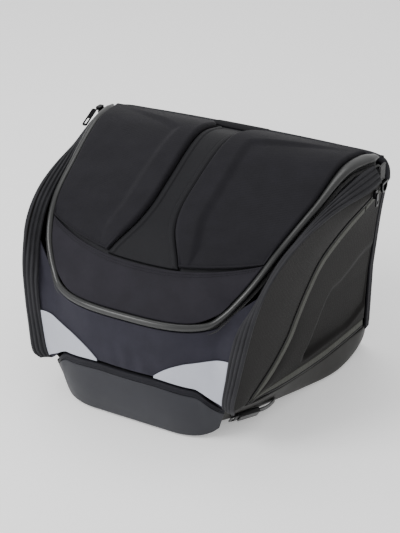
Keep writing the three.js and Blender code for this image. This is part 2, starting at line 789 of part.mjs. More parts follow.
function addSides() {
  addPair("pocket_wall", skin(pocketWallSurface, 1.5, 3, 14, 6), "lining");
  const topStrip = stripSurface(0, STRIP_SPLIT - 0.003);
  const frontStrip = stripSurface(STRIP_SPLIT + 0.003, 0.985);
  addPair("wing_strip_top", skin(topStrip, STRIP_THICK, STRIP_THICK, 12, 3), "fabric");
  addPair("wing_strip_front", skin(frontStrip, STRIP_THICK, STRIP_THICK, 16, 3), "fabric");
  addPair("wing_side", skin(wingSideSurface, 0, SHELL, 26, 3), "moulded");
  addPair("pocket_flap", skin(flapSurface, 0, SHELL - 1, 18, 6), "moulded");
  addPair("pocket_wedge", skin(wedgeSurface, 1.7, 1.2, 10, 4), "moulded");
  addPair("pocket_zip_tape", skin(pocketTapeSurface, -0.4, 1.6, 44, 1), "zip");
  addPair("pocket_post", makePost(), "fabric");
}

function addLid() {
  addMesh("lid_shell", skin(shellSurface, -LID_LAYER - LID_BED, 4.5, 14, 12), "lining");
  addPair("lid_pad", skin(padSurface, PAD_PROUD, PAD_PROUD + LID_LAYER, 8, 12), "fabric");
  addMesh("centre_band", skin(bandSurface, -BAND_SUNK, LID_LAYER - BAND_SUNK, 4, 12), "band");
  addMesh("lid_apron", skin(apronSurface, 0, LID_LAYER, 18, 5), "fabric");
  addMesh("lid_piping", makePiping(), "piping");
  addMesh("lid_zip_tape", makeUpperTape(), "zip");
  addMesh("main_zip_tape", makeLowerTape(), "zip");
}

const RING_PLACE = [209.6, 128, 263.4]; // middle of the D-ring's straight bar, on the right

function addRidgeRings() {
  const tab = new THREE.BoxGeometry(2.4, 17, 22);
  tab.translate(RING_PLACE[0] - 2.6, RING_PLACE[1], RING_PLACE[2] + 11.5);
  addPair("ring_tab", tab, "webbing");
  const ring = makeDRing();
  ring.rotateX(Math.PI / 2);
  ring.rotateZ(Math.PI / 2);
  ring.translate(...RING_PLACE);
  addPair("d_ring", ring, "metal");
}

const PULLER_THICK = 1.8;
// The main puller lies forward and slopes down to the side strip.
const PULLER_DROOP = THREE.MathUtils.degToRad(26);
const MAIN_SLIDER = [-206, 122, 288];

function addMainSlider() {
  const slider = makeSlider(12, 7, 4.5);
  slider.rotateZ(Math.PI / 2);
  slider.translate(...MAIN_SLIDER);
  addMesh("main_zip_slider", slider, "metal");
  const puller = makePuller(32, 7, PULLER_THICK);
  puller.rotateX(PULLER_DROOP);
  puller.translate(MAIN_SLIDER[0] - 3.4, MAIN_SLIDER[1] - 7.5, MAIN_SLIDER[2] + 1);
  addMesh("main_zip_puller", puller, "zip");
}

function addPocketSliders() {
  const place = besideZip(0.055, 7);
  const slider = makeSlider(11, 8, 3.2);
  slider.rotateY(Math.PI / 2);
  slider.translate(place.x + 2, place.y, place.z);
  addPair("pocket_zip_slider", slider, "metal");
  const puller = makePuller(18, 7, PULLER_THICK);
  puller.rotateX(Math.PI / 2);
  puller.rotateZ(Math.PI / 2);
  puller.translate(place.x + 5.6, place.y, place.z + 2);
  addPair("pocket_zip_puller", puller, "zip");
}

const STRAP_SHARE = 0.42; // share of the tray wall's height that the strap's end covers
const STRAP_LIFT = 3.2; // from the tray's wall to the middle of the strap
const STRAP_BOW = 2.5; // how far the strap stands out in its middle
// Per buckle: its end, its place along the tray's outline, its height share, and how far on its strap is sewn.
const BUCKLE_PLACES = [
  ["tail", 3.6, 0.4, 1.3],
  ["rider", 11.2, 0.5, 0.45],
];

function addMountingStraps() {
  for (const [end, i, h, reach] of BUCKLE_PLACES) {
    const frame = buckleFrame(i, h);
    addPair("mount_strap_" + end, makeStrap(i, h, reach, frame), "webbing");
    addPair("buckle_socket_" + end, placed(makeSocket(), frame), "plastic");
    addPair("buckle_insert_" + end, placed(makeInsert(), frame), "plastic");
  }
}

addBase();
addTailEnd();
addRiderSide();
addSides();
addLid();
addRidgeRings();
addMainSlider();
addPocketSliders();
addMountingStraps();

export default bag;
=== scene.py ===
"""Motorcycle tail bag: soft goods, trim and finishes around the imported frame.

Shapes are in millimetres, which add_piece turns into metres. Materials, stage and camera are in metres.
"""

import math

import bmesh
import bpy
import numpy as np
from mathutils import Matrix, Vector


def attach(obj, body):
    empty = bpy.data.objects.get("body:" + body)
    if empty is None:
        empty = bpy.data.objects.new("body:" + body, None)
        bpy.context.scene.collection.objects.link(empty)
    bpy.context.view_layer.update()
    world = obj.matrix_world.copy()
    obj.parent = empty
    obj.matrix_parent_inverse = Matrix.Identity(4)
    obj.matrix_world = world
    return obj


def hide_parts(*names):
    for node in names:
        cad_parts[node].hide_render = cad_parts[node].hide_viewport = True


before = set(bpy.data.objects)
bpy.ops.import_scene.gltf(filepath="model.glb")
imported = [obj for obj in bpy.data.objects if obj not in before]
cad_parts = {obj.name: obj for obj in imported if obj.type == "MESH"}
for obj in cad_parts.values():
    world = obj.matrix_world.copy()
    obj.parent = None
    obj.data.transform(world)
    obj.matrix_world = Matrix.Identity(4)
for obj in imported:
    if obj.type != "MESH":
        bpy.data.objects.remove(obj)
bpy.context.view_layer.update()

MM = 0.001

# ---- Driving dimensions of the bag, in millimetres ----
RIDGE_HALF = 200  # half the width of the ridge
RIDGE_Y = 147
RIDGE_Z = 288
REAR_Y = 160  # face of the rider side
TAIL_Y = -165  # middle of the tail end
CORNER_SETBACK = 27  # how far the lid's front corners lie behind the middle of the tail
CORNER_HALF = 112  # half the lid's width at its front corners
LID_CROWN = 18
WAIST_Z = 130  # height at which the side walls change their lean
WAIST_TAIL = 152  # half width at the waist, at the tail's corner
WAIST_GAIN = 44  # how much wider that is at the rider's end
SIDE_FRONT = -148  # y of the side walls' tail end
SIDE_LENGTH = 295
SIDE_LEAN = 0.13  # how much they widen per millimetre of height, at that end
BUMPER_HALF = 130
BUMPER_TOP = 82
BUMPER_GAP = 3.8  # between the bumper's top and the tail panel
POCKET_TIP = 0.635  # share of the pocket's zip at which the pocket ends in a tip
BAG_CENTRE = np.array([0.0, 0.0, 130.0])
MIRRORED = np.array([-1.0, 1.0, 1.0])


# ---- Small helpers ----
def lerp(a, b, t):
    return a + (b - a) * t


def smooth(x, low, high):
    t = np.clip((x - low) / (high - low), 0, 1)
    return t * t * (3 - 2 * t)


def points(*columns):
    return np.stack(np.broadcast_arrays(*[np.asarray(c, float) for c in columns]), axis=-1)


def unit(v):
    return v / np.maximum(np.linalg.norm(v, axis=-1, keepdims=True), 1e-12)


TANGENT_STEP = 1e-4


class Curve:
    """Catmull-Rom curve, read at a share t of its points. It is centripetal unless uniform."""

    def __init__(self, rows, uniform=False):
        p = np.array(rows, float)
        self.spans = len(p) - 1
        if uniform:
            q = np.vstack([p[:1], p, p[-1:]])
        else:
            q = np.vstack([2 * p[0] - p[1], p, 2 * p[-1] - p[-2]])
        self.rows = []
        for i in range(self.spans):
            a, b, c, d = q[i : i + 4]
            if uniform:
                m0, m1 = (c - a) / 2, (d - b) / 2
            else:
                t0, t1, t2 = (np.sum((e - f) ** 2) ** 0.25 for e, f in ((b, a), (c, b), (d, c)))
                m0 = t1 * ((b - a) / t0 - (c - a) / (t0 + t1) + (c - b) / t1)
                m1 = t1 * ((c - b) / t1 - (d - b) / (t1 + t2) + (d - c) / t2)
            self.rows.append((b, m0, 3 * (c - b) - 2 * m0 - m1, 2 * (b - c) + m0 + m1))
        self.rows = np.array(self.rows)

    def __call__(self, t):
        s = np.clip(np.asarray(t, float), 0, 1) * self.spans
        k = np.minimum(s.astype(int), self.spans - 1)
        w = (s - k)[..., None]
        a, b, c, d = (self.rows[k, i] for i in range(4))
        return a + w * (b + w * (c + w * d))

    def tangent(self, t):
        ahead = self(np.minimum(np.asarray(t) + TANGENT_STEP, 1))
        return unit(ahead - self(np.maximum(np.asarray(t) - TANGENT_STEP, 0)))


# ---- Master curves and surfaces, which follow the solids of the frame ----
# The lid's right edge, from the ridge to the front corner.
LID_SIDE = Curve([
    (RIDGE_HALF, RIDGE_Y, RIDGE_Z), (182, 74, 292), (169, -2, 266), (156, -69, 238), (141, -106, 208),
    (CORNER_HALF, TAIL_Y + CORNER_SETBACK, 167),
])
# Where the raised side strip meets the bag, from the ridge down to the bumper.
CREVICE = Curve([
    (202, 117, 286), (198, 95, 286), (188, 45, 275), (179, -6, 259), (172, -50, 243), (164, -82, 227),
    (156, -106, 203), (149, -122, 182), (139, -139, 160), (133, -146, 130), (129, -147, 98),
    (125, -147, 70), (122, -143, 53),
])
# The strip's outer edge on the side wall, as (y, z).
WING_EDGE = Curve([
    (117, 267), (98, 265), (45, 263), (-4, 262), (-50, 256), (-82, 246), (-108, 231), (-125, 212),
    (-139, 180), (-147, 140), (-152, 102), (-155, 68), (-142, 49),
], uniform=True)
# The side pocket's zip on the side wall, as (y, z), from the top over the tip and back along the foot.
POCKET_ZIP = Curve([
    (134, 257), (95, 246), (33, 220), (-1, 201), (-24, 173), (-40, 145), (-54, 118), (-78, 92), (-104, 72),
    (-118, 62), (-118, 55), (-94, 53), (-34, 45), (34, 41), (92, 43), (134, 46),
], uniform=True)
# Right half of the bumper's foot.
BUMPER_FOOT = Curve([
    (0, -150, 2.5), (40, -150, 2.5), (70, -149, 2.5), (91, -143, 4), (104, -135, 8), (111, -128, 13),
])


def lid_surface(u, v):
    """u from -1 at the left edge to 1 at the right, v from 0 at the ridge to 1 at the tail."""
    side = LID_SIDE(v)
    across = np.abs(u)
    bow = CORNER_SETBACK * (1 - across**3) * v
    dip = 7 * (1 - across**7) * v
    crown = LID_CROWN * np.sin(math.pi * v**0.6) ** 2 * (1 - across**2.5)
    return points(side[..., 0] * u, side[..., 1] - bow, side[..., 2] - dip + crown)


def lid_edge(t):
    """Right half of the lid's edge: t is 0 at the ridge, 1 at the corner, 2 at the middle of the tail."""
    t = np.asarray(t, float)
    return lid_surface(np.clip(2 - t, 0, 1), np.clip(t, 0, 1))


EDGE_STEP = 0.02


def edge_out(t):
    """Level direction out of the lid, square to its edge."""
    along = lid_edge(np.minimum(t + EDGE_STEP, 2)) - lid_edge(np.maximum(t - EDGE_STEP, 0))
    return unit(points(-along[..., 1], along[..., 0], 0))


def beside_edge(t, out, down):
    """Point outside the lid's edge and below it."""
    return lid_edge(t) + edge_out(t) * np.asarray(out)[..., None] - points(0, 0, down)


def side_x(y, z):
    """Half width of the side wall, which flares at the shoulder and tucks in at the tail's foot."""
    back = (y - SIDE_FRONT) / SIDE_LENGTH
    lean = np.where(z > WAIST_Z, SIDE_LEAN - 0.059 * back, SIDE_LEAN * (1 - back))
    shoulder = 3 + 6 * np.exp(-(((y - 90) / 40) ** 2))
    flare = shoulder * (np.maximum(z - 190, 0) / 75) ** 2
    tuck = 0.4 * np.maximum(62 - z, 0) * smooth(-y, 60, 140)
    return WAIST_TAIL + WAIST_GAIN * back + lean * (z - WAIST_Z) + flare - tuck


def side_point(y, z, out=0.0):
    return points(side_x(y, z) + out, y, z)


def beside_zip(t, out):
    """Point of the side wall at a distance outside the pocket's zip."""
    p, along = POCKET_ZIP(t), POCKET_ZIP.tangent(t)
    return side_point(p[..., 0] + along[..., 1] * out, p[..., 1] - along[..., 0] * out)


def inside_wing_edge(t, inward):
    """Point of the side wall at a distance inwards from the strip's edge."""
    p, along = WING_EDGE(t), WING_EDGE.tangent(t)
    return side_point(p[..., 0] - along[..., 1] * inward, p[..., 1] + along[..., 0] * inward)


def tail_y(x):
    return TAIL_Y + 20 * (x / BUMPER_HALF) ** 2


def bumper_top_z(x):
    return BUMPER_TOP - 6 * smooth(x, 30, 92) - 30 * smooth(x, 88, 132)


def bumper_surface(u, v):
    """The bumper, from its foot up to its top edge, wrapped round both ends."""
    a = np.abs(2 * u - 1)
    x = a * BUMPER_HALF
    wrap = smooth(a, 0.76, 1)
    top = points(x - 8 * wrap, tail_y(x) - 1 + 12 * wrap, bumper_top_z(x))
    foot = BUMPER_FOOT(a)
    p = foot + (top - foot) * v[..., None]
    belly = 4 * np.sin(math.pi * v) * smooth(1 - a, 0, 0.5)
    return points(np.sign(2 * u - 1) * p[..., 0], p[..., 1] - belly, p[..., 2])


def tail_top(t):
    """Upper edge of the tail panel: close under the piping along the tail, further out along the sides."""
    rise = smooth(t, 0.7, 1.0)
    return beside_edge(t, lerp(10, 1.6, rise), lerp(8, 6, rise))


TUCK_UNDER_STRIP = np.array([2.5, 0, 0])
HALVINGS = 16


def tail_surface(u, v):
    """The tail panel, from the bumper up to the lid's edge, between the two side strips."""
    side = np.where(u < 0.5, -1.0, 1.0)
    a = np.abs(2 * u - 1)

    def crevice(k):
        return CREVICE(lerp(1, 0.5, k)) + TUCK_UNDER_STRIP

    def top(k):
        return tail_top(lerp(2, 0.8, k))

    low_x = crevice(np.zeros_like(a))[..., 0]

    def bottom(k):
        x = low_x * k
        return points(x, tail_y(x), bumper_top_z(x) + BUMPER_GAP)

    one = np.ones_like(a)
    w = v[..., None]
    pull = (a ** lerp(4, 14, v))[..., None]
    p = lerp(bottom(a), top(a), w) + (crevice(v) - lerp(bottom(one), top(one), w)) * pull
    return points(side * p[..., 0], p[..., 1], p[..., 2])


def tail_at_height(a, z):
    """Point of the tail panel at a height, found by halving."""
    low, high = np.zeros_like(a), np.ones_like(a)
    for _ in range(HALVINGS):
        middle = (low + high) / 2
        below = tail_surface(0.5 + a / 2, middle)[..., 2] < z
        low, high = np.where(below, middle, low), np.where(below, high, middle)
    return tail_surface(0.5 + a / 2, low)


PIPING_ROOM = 4.9
BAND_HALF = 19  # half the centre band's width at its waist
BAND_WAIST = 0.47  # where the waist lies, as a share of the lid's length


def lid_reach(v):
    """Share of the lid's half width at which its pieces end beside the piping."""
    return 1 - PIPING_ROOM / (edge_out(v)[..., 0] * LID_SIDE(v)[..., 0])


def band_half(v):
    behind = np.maximum(BAND_WAIST - v, 0) / BAND_WAIST
    return BAND_HALF + 9 * behind**2 + 32 * smooth(v, BAND_WAIST, 0.8) ** 1.3


def lid_seam(u):
    """Where the apron's seam lies, as a share of the lid's length."""
    return 0.77 - 0.1 * np.abs(u) ** 2.2


def strip_surface(t, v):
    """The raised side strip, from the crevice to its edge on the side wall."""
    edge = WING_EDGE(t)
    rim = side_point(edge[..., 0], edge[..., 1], 1)
    belly = 1.5 * np.sin(math.pi * v)
    inner = CREVICE(t) - points(3.5 * (1 - smooth(t, 0.3, 0.55)), 0, 0)
    return lerp(inner, rim, v[..., None]) + points(0, -belly * smooth(t, 0.3, 0.6), belly)


# ---- Finishes ----
def new_material(name):
    material = bpy.data.materials.new(name)
    material.use_nodes = True
    tree = material.node_tree
    return material, tree, tree.nodes["Principled BSDF"]


def node(tree, kind, **settings):
    made = tree.nodes.new(kind)
    for key, value in settings.items():
        if hasattr(made, key):
            setattr(made, key, value)
        else:
            made.inputs[key.replace("_", " ")].default_value = value
    return made


DARK_SHADED_SHARE = 0.42  # share of a swatch's colour that the dark goods keep: painted shade for their folds and weave, which return less light than a flat swatch
BRIGHT_DEPTH = 0.85
BRIGHT_FROM = 120  # of 255
WAVE_PITCH = 0.314  # metres from band to band of a wave texture at scale 1


def linear(colour):
    """Linear colour of an sRGB swatch, toned down by its depth, which for the dark goods is painted shade."""
    depth = DARK_SHADED_SHARE if max(colour) < BRIGHT_FROM else BRIGHT_DEPTH
    return tuple(depth * ((c / 255 + 0.055) / 1.055) ** 2.4 for c in colour) + (1.0,)


def mottle(tree, shader, colour, spread, scale):
    """Base colour that drifts a little over the cloth, as dye and wear do."""
    place = tree.nodes.new("ShaderNodeTexCoord")
    noise = node(tree, "ShaderNodeTexNoise", Scale=scale, Detail=4.0, Roughness=0.6)
    ramp = tree.nodes.new("ShaderNodeValToRGB")
    dark = [c * (1 - spread) for c in linear(colour)[:3]] + [1.0]
    light = [min(c * (1 + spread), 1) for c in linear(colour)[:3]] + [1.0]
    ramp.color_ramp.elements[0].position = 0.35
    ramp.color_ramp.elements[0].color = dark
    ramp.color_ramp.elements[1].position = 0.65
    ramp.color_ramp.elements[1].color = light
    tree.links.new(place.outputs["Object"], noise.inputs["Vector"])
    tree.links.new(noise.outputs["Fac"], ramp.inputs["Fac"])
    tree.links.new(ramp.outputs["Color"], shader.inputs["Base Color"])
    return place


def bump(tree, shader, height, distance, strength=1.0, under=None):
    made = node(tree, "ShaderNodeBump", Strength=strength, Distance=distance)
    tree.links.new(height, made.inputs["Height"])
    if under is not None:
        tree.links.new(under, made.inputs["Normal"])
    tree.links.new(made.outputs["Normal"], shader.inputs["Normal"])
    return made.outputs["Normal"]


def roughness_from(tree, shader, value, low, high):
    spread = node(tree, "ShaderNodeMapRange")
    spread.inputs["To Min"].default_value = low
    spread.inputs["To Max"].default_value = high
    tree.links.new(value, spread.inputs["Value"])
    tree.links.new(spread.outputs["Result"], shader.inputs["Roughness"])


def cloth(name, colour, rough, thread, depth, sheen=0.02, spread=0.1):
    """Plain-woven cloth: two crossed sets of threads, `thread` metres apart."""
    material, tree, shader = new_material(name)
    place = mottle(tree, shader, colour, spread, 35.0)
    sets = []
    for direction in ("X", "Z"):
        wave = node(tree, "ShaderNodeTexWave", wave_type="BANDS", bands_direction=direction)
        wave.inputs["Scale"].default_value = WAVE_PITCH / thread
        wave.inputs["Distortion"].default_value = 0.6
        wave.inputs["Detail"].default_value = 1.0
        tree.links.new(place.outputs["Object"], wave.inputs["Vector"])
        sets.append(wave.outputs["Fac"])
    crossed = node(tree, "ShaderNodeMath", operation="MAXIMUM")
    tree.links.new(sets[0], crossed.inputs[0])
    tree.links.new(sets[1], crossed.inputs[1])
    slub = node(tree, "ShaderNodeTexNoise", Scale=420.0, Detail=2.0)
    tree.links.new(place.outputs["Object"], slub.inputs["Vector"])
    first = bump(tree, shader, slub.outputs["Fac"], depth * 0.8, 0.6)
    bump(tree, shader, crossed.outputs[0], depth, 0.8, first)
    roughness_from(tree, shader, slub.outputs["Fac"], rough - 0.08, rough + 0.08)
    shader.inputs["Specular IOR Level"].default_value = 0.12
    shader.inputs["Sheen Weight"].default_value = sheen
    shader.inputs["Sheen Roughness"].default_value = 0.45
    return material


def moulding(name, colour, rough, grain, depth, coat=0.0, spread=0.06, metallic=0.0, gloss=0.22):
    """Moulded or coated surface with a leathery grain, `grain` metres across."""
    material, tree, shader = new_material(name)
    place = mottle(tree, shader, colour, spread, 22.0)
    cells = node(tree, "ShaderNodeTexVoronoi", feature="SMOOTH_F1")
    cells.inputs["Scale"].default_value = 1.0 / grain
    tree.links.new(place.outputs["Object"], cells.inputs["Vector"])
    cloud = node(tree, "ShaderNodeTexNoise", Scale=60.0, Detail=3.0)
    tree.links.new(place.outputs["Object"], cloud.inputs["Vector"])
    bump(tree, shader, cells.outputs["Distance"], depth, 0.7)
    roughness_from(tree, shader, cloud.outputs["Fac"], rough - 0.07, rough + 0.07)
    shader.inputs["Specular IOR Level"].default_value = gloss
    shader.inputs["Coat Weight"].default_value = coat
    shader.inputs["Metallic"].default_value = metallic
    return material


def ribbed(name, colour, rough, pitch, depth, direction):
    """Webbing or zip tape with ribs every `pitch` metres."""
    material, tree, shader = new_material(name)
    place = mottle(tree, shader, colour, 0.12, 50.0)
    wave = node(tree, "ShaderNodeTexWave", wave_type="BANDS", bands_direction=direction)
    wave.inputs["Scale"].default_value = WAVE_PITCH / pitch
    tree.links.new(place.outputs["Object"], wave.inputs["Vector"])
    fuzz = node(tree, "ShaderNodeTexNoise", Scale=700.0, Detail=2.0)
    tree.links.new(place.outputs["Object"], fuzz.inputs["Vector"])
    first = bump(tree, shader, fuzz.outputs["Fac"], depth * 0.5, 0.5)
    bump(tree, shader, wave.outputs["Fac"], depth, 0.8, first)
    roughness_from(tree, shader, fuzz.outputs["Fac"], rough - 0.06, rough + 0.06)
    shader.inputs["Sheen Weight"].default_value = 0.2
    return material


def beaded(name, colour, rough):
    """Reflective sheet: a silver-grey face of tiny cells."""
    material, tree, shader = new_material(name)
    place = mottle(tree, shader, colour, 0.04, 18.0)
    cells = node(tree, "ShaderNodeTexVoronoi", feature="DISTANCE_TO_EDGE")
    cells.inputs["Scale"].default_value = 520.0
    tree.links.new(place.outputs["Object"], cells.inputs["Vector"])
    bump(tree, shader, cells.outputs["Distance"], 0.00015, 0.4)
    roughness_from(tree, shader, cells.outputs["Distance"], rough, rough + 0.12)
    shader.inputs["Metallic"].default_value = 0.15
    return material


# Colours are sRGB swatches. Roughness follows, then the pitch of threads, grain or ribs and the bump's depth.
FINISH = {
    "fabric": cloth("fabric_weave", (46, 45, 51), 0.72, 0.0011, 0.00014),
    "tail_fabric": cloth("tail_weave", (70, 69, 81), 0.78, 0.0009, 0.00014),
    "band": cloth("band_weave", (44, 44, 48), 0.6, 0.0006, 0.00008, spread=0.05),
    # The piping's grey is partly its own colour and partly painted highlight, lifted for the satin shine
    # along it.
    "piping": moulding("piping_skin_and_highlight", (56, 57, 57), 0.38, 0.0012, 0.00008, coat=0.1, gloss=0.45),
    # The moulded cloth's grey is partly its own and partly painted shade, darkened for the side walls that
    # face away from the key light.
    "moulded": cloth("moulded_cloth_and_shade", (37, 35, 34), 0.62, 0.0008, 0.00008, spread=0.08),
    "bumper": moulding("bumper_skin", (70, 71, 78), 0.5, 0.0009, 0.00008),
    "apron": cloth("apron_weave", (58, 56, 64), 0.72, 0.0011, 0.00014),
    "strip": cloth("strip_weave", (70, 70, 74), 0.66, 0.0009, 0.00012),
    "flange": cloth("flange_weave", (108, 109, 103), 0.6, 0.0012, 0.0003),
    "binding": cloth("binding_weave", (48, 48, 55), 0.6, 0.0007, 0.00012),
    "reflective": beaded("reflective_sheet", (186, 189, 200), 0.42),
    "webbing": ribbed("webbing_ribs", (30, 30, 32), 0.75, 0.0022, 0.0004, "Z"),
    "zip": ribbed("zip_tape", (22, 22, 24), 0.6, 0.0016, 0.0004, "Y"),
    "plastic": moulding("black_plastic", (20, 20, 22), 0.38, 0.0006, 0.00005, coat=0.15),
    "metal": moulding("black_metal", (34, 34, 37), 0.32, 0.0008, 0.00003, metallic=0.8),
    "under_pad": moulding("grip_rubber", (24, 24, 25), 0.85, 0.0025, 0.0006),
    "board": moulding("board_sheet", (36, 36, 38), 0.7, 0.0015, 0.0001),
    "lining": cloth("lining_weave", (78, 78, 82), 0.82, 0.0007, 0.0001),
    "base": moulding("base_skin", (72, 71, 69), 0.55, 0.0013, 0.00008),
    "thread": cloth("thread_twist", (58, 58, 62), 0.6, 0.0004, 0.0001),
}


# ---- Pieces ----
def spaced(count, crowd=0.85):
    """Shares from 0 to 1, closer together near both ends."""
    t = np.linspace(0, 1, count + 1)
    return t - crowd * np.sin(2 * math.pi * t) / (2 * math.pi)


def rolled(distance, radius):
    """How far a rolled border has dropped at a distance in from its edge."""
    short = np.clip(radius - distance, 0, radius)
    return radius - np.sqrt(np.maximum(radius**2 - short**2, 0))


def border_distance(p, axis):
    step = np.linalg.norm(np.diff(p, axis=axis), axis=-1)
    run = np.concatenate([np.zeros_like(np.take(step, [0], axis)), np.cumsum(step, axis)], axis)
    return np.minimum(run, np.take(run, [-1], axis) - run)


def outward(p, facing=None):
    """Normals of a grid, all on the side to which its middle faces: `facing`, or away from the bag."""
    normal = unit(np.cross(np.gradient(p, axis=1), np.gradient(p, axis=0)))
    j, i = p.shape[0] // 2, p.shape[1] // 2
    towards = p[j, i] - BAG_CENTRE if facing is None else np.array(facing, float)
    return -normal if normal[j, i] @ towards < 0 else normal


def add_piece(name, verts, faces, finish, body, replaces=(), slot=None):
    mesh = bpy.data.meshes.new(name)
    mesh.from_pydata((np.asarray(verts, float) * MM).tolist(), [], faces)
    mesh.update()
    shape = bmesh.new()
    shape.from_mesh(mesh)
    bmesh.ops.recalc_face_normals(shape, faces=shape.faces)
    shape.to_mesh(mesh)
    shape.free()
    mesh.polygons.foreach_set("use_smooth", [True] * len(mesh.polygons))
    piece = bpy.data.objects.new(name, mesh)
    bpy.context.scene.collection.objects.link(piece)
    mesh.materials.append(FINISH[finish])
    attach(piece, body)
    if replaces:
        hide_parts(*replaces)
    return piece


def grid_faces(rows, columns, start=0):
    made = []
    for j in range(rows - 1):
        for i in range(columns - 1):
            a = start + j * columns + i
            made.append((a, a + 1, a + columns + 1, a + columns))
    return made


def border_loop(rows, columns, start=0):
    low = [start + i for i in range(columns)]
    right = [start + j * columns + columns - 1 for j in range(1, rows)]
    high = [start + (rows - 1) * columns + i for i in range(columns - 2, -1, -1)]
    left = [start + j * columns for j in range(rows - 2, 0, -1)]
    return low + right + high + left


RELIEF_FADE = 4  # width of the border over which a relief fades out


def shell_verts(surface, size, out, thick, roll, relief=None, crowd=0.85, facing=None):
    """Outer and inner face of a sewn panel whose border rolls over to its inner face.

    `relief` gives extra height from u, v and the points of the grid.
    """
    u, v = np.meshgrid(spaced(size[0], crowd), spaced(size[1], crowd))
    p = surface(u, v)
    normal = outward(p, facing)
    along, across = border_distance(p, 1), border_distance(p, 0)
    height = out - np.maximum(rolled(along, roll), rolled(across, roll))
    if relief is not None:
        height = height + relief(u, v, p) * smooth(np.minimum(along, across), 0, RELIEF_FADE)
    outer = p + normal * height[..., None]
    inner = p + normal * (out - thick)
    rows, columns = u.shape
    verts = np.vstack([outer.reshape(-1, 3), inner.reshape(-1, 3)])
    faces = grid_faces(rows, columns)
    faces += [f[::-1] for f in grid_faces(rows, columns, rows * columns)]
    a, b = border_loop(rows, columns), border_loop(rows, columns, rows * columns)
    for k in range(len(a)):
        n = (k + 1) % len(a)
        faces.append((a[n], a[k], b[k], b[n]))
    return verts, faces


def flipped(verts, faces):
    return verts * MIRRORED, [f[::-1] for f in faces]


def add_pair(name, built, finish, body, nodes=(), slot=None):
    """Adds a piece on the right and its mirror image on the left. SIDE in a name stands for either."""
    made = []
    for side, (verts, faces) in (("right", built), ("left", flipped(*built))):
        stands_for = [n.replace("SIDE", side) for n in nodes]
        rides_on = body.replace("SIDE", side)
        made.append(add_piece(f"{name}_{side}", verts, faces, finish, rides_on, stands_for, slot))
    return made


def sweep(path, first, second, section):
    """Tube along a path. section gives its ring at a share of the path, along first and second."""
    verts, faces = [], []
    for k, p in enumerate(path):
        ring = section(k / (len(path) - 1))
        count = len(ring)
        verts += [p + first[k] * a + second[k] * b for a, b in ring]
    for k in range(len(path) - 1):
        for i in range(count):
            a, b = k * count + i, k * count + (i + 1) % count
            faces.append((a, b, b + count, a + count))
    faces.append(tuple(range(count))[::-1])
    faces.append(tuple((len(path) - 1) * count + i for i in range(count)))
    return np.array(verts), faces


def oval(a, b, count, power=1.0):
    angles = np.linspace(0, 2 * math.pi, count, endpoint=False)
    x = a * np.sign(np.cos(angles)) * np.abs(np.cos(angles)) ** power
    y = b * np.sign(np.sin(angles)) * np.abs(np.sin(angles)) ** power
    return np.stack([x, y], 1)


def frames_along(path, up):
    """Directions across a path: out sideways and up, square to the way it runs."""
    along = unit(np.gradient(path, axis=0))
    side = unit(np.cross(along, np.array(up, float)))
    return side, np.cross(side, along)


STITCH_PITCH = 3.6
STITCH_LENGTH = 2.4
STITCH_RADIUS = 0.32
STITCH_SIDES = 6
# Rings of a stitch: its end, the shift from there and the share of its radius.
STITCH_RINGS = ((0, 0, 0.45), (0, 0.35, 1), (1, -0.35, 1), (1, 0, 0.45))


def stitch_verts(path, normal):
    """A row of stitches along a path, each a slim six-sided bar that lies on the cloth."""
    step = np.linalg.norm(np.diff(path, axis=0), axis=1)
    run = np.concatenate([[0], np.cumsum(step)])
    turns = np.arange(STITCH_SIDES) * math.pi / 3
    verts, faces = [], []
    for s in np.arange(1.0, run[-1] - STITCH_LENGTH, STITCH_PITCH):
        ends = [
            np.array([np.interp(x, run, path[:, c]) for c in range(3)]) for x in (s, s + STITCH_LENGTH)
        ]
        up = unit(np.array([np.interp(s, run, normal[:, c]) for c in range(3)]))
        along = unit(ends[1] - ends[0])
        side = np.cross(along, up)
        base = len(verts)
        for end, shift, size in STITCH_RINGS:
            centre = ends[end] + along * shift
            spokes = [side * math.cos(a) + up * math.sin(a) for a in turns]
            verts += [centre + spoke * STITCH_RADIUS * size for spoke in spokes]
        for k in range(len(STITCH_RINGS) - 1):
            ring = base + STITCH_SIDES * k
            for i in range(STITCH_SIDES):
                a, b = ring + i, ring + (i + 1) % STITCH_SIDES
                faces.append((a, b, b + STITCH_SIDES, a + STITCH_SIDES))
        last = len(verts) - STITCH_SIDES
        faces.append(tuple(base + i for i in range(STITCH_SIDES))[::-1])
        faces.append(tuple(last + i for i in range(STITCH_SIDES)))
    return np.array(verts), faces


def joined(*parts):
    """Several sets of verts and faces as one."""
    verts, faces, start = [], [], 0
    for v, f in parts:
        verts.append(v)
        faces += [tuple(i + start for i in face) for face in f]
        start += len(v)
    return np.vstack(verts), faces


# ---- Lid ----
PIPE = 4.4  # radius of the piping
FOLDS = {"right": 15.0, "left": 2.0}  # how much wider the piping's fold is at each end of the ridge
LID_FIRST = 0.012  # where the lid's pieces start and end, as shares of its length
LID_LAST = 0.983
SEAM_GAP = 0.005  # half the gap at the apron's seam, as such a share
PAD_HEIGHT = 5.5
CORNER_ROUND = 24
RIB_HEIGHT = 4.4
PAD_LOWEST = 4.8  # the most by which a pad's relief sinks
STITCH_ROWS = (0.016, 0.028)  # the rows' distances from the apron's edge, as such shares
ROW_SAMPLES = 500


def fold_width(t, fold):
    return fold * (1 - smooth(t, 0.0, 0.42)) ** 1.3


def corner_extra(v):
    """How much further out a pad's inner edge lies close to the ridge, where the pad's corner is rounded."""
    run = np.clip(1 - (RIDGE_Y - LID_SIDE(v)[..., 1]) / CORNER_ROUND, 0, 1)
    return CORNER_ROUND * (1 - np.sqrt(1 - run**2))


